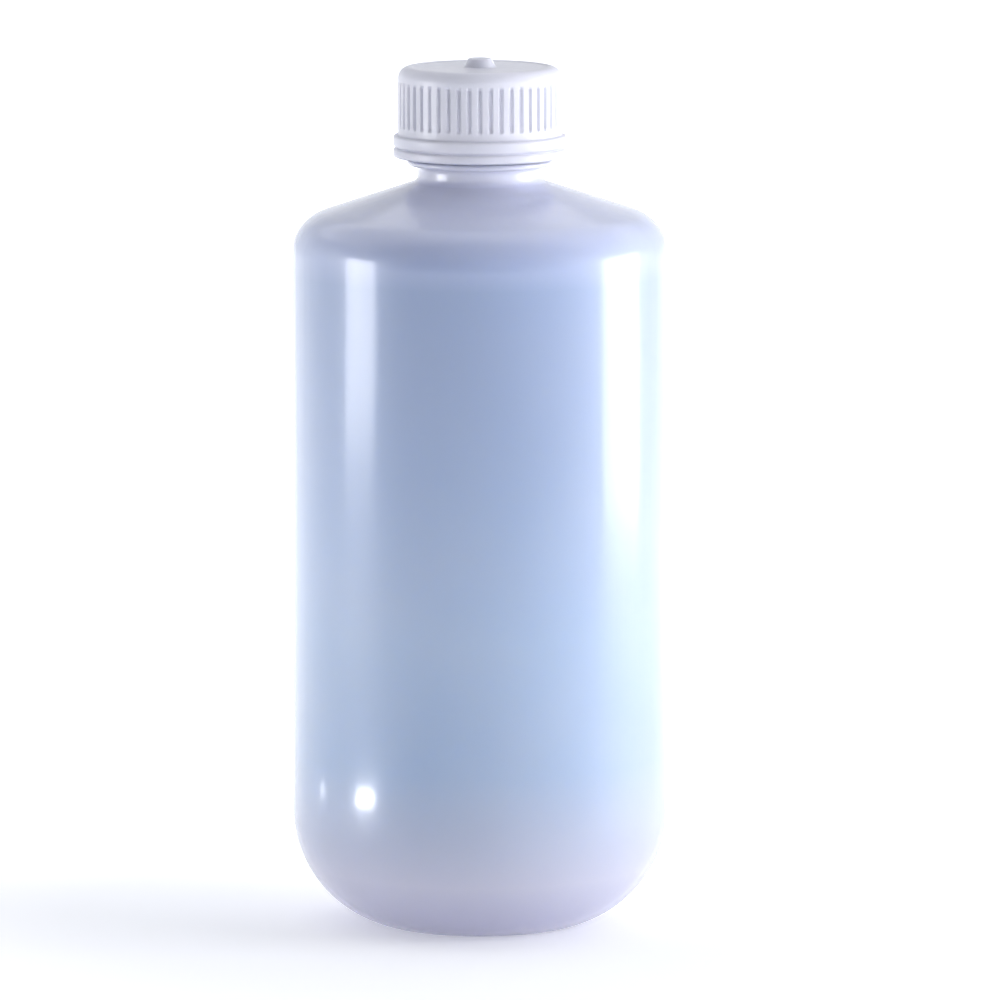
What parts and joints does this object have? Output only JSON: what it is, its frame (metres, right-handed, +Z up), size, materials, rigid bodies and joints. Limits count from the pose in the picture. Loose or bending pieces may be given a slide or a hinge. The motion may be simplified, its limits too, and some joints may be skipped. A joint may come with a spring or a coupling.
{
  "type": "reagent bottle",
  "caption": "Round narrow-mouth plastic reagent bottle with a sloping shoulder, large rounded heel, threaded neck and ribbed screw cap.",
  "frame": {"origin": "middle of the foot, on the plane that the bottle stands on", "axes": "+Z up along the bottle's axis; X and Y lie across it, and the body is round about it"},
  "size_m": [0.0734, 0.0734, 0.1697],
  "materials": {
    "bottle_plastic": "natural translucent polypropylene, smooth and softly glossy, milky with a cool blue-lavender cast",
    "cap_plastic": "translucent white polypropylene, satin, moulded with fine grip ribs",
    "disc_foam": "soft white expanded polyethylene"
  },
  "bodies": {
    "bottle": {"bottle": "bottle_plastic"},
    "disc": {"sealing_disc": "disc_foam"},
    "cap": {"screw_cap": "cap_plastic"}
  },
  "joints": [
    {"name": "cap_lift", "type": "slide", "parent": "bottle", "child": "disc", "axis": [0, 0, 1], "range_m": [0, 0.0212]},
    {"name": "cap_turn", "type": "hinge", "parent": "disc", "child": "cap", "pos_m": [0, 0, 0.1505], "axis": [0, 0, 1], "range_deg": [0, 1800]}
  ],
  "couplings": [
    {"joint": "cap_lift", "follows": "cap_turn", "m_per_rad": 0.00067375}
  ]
}
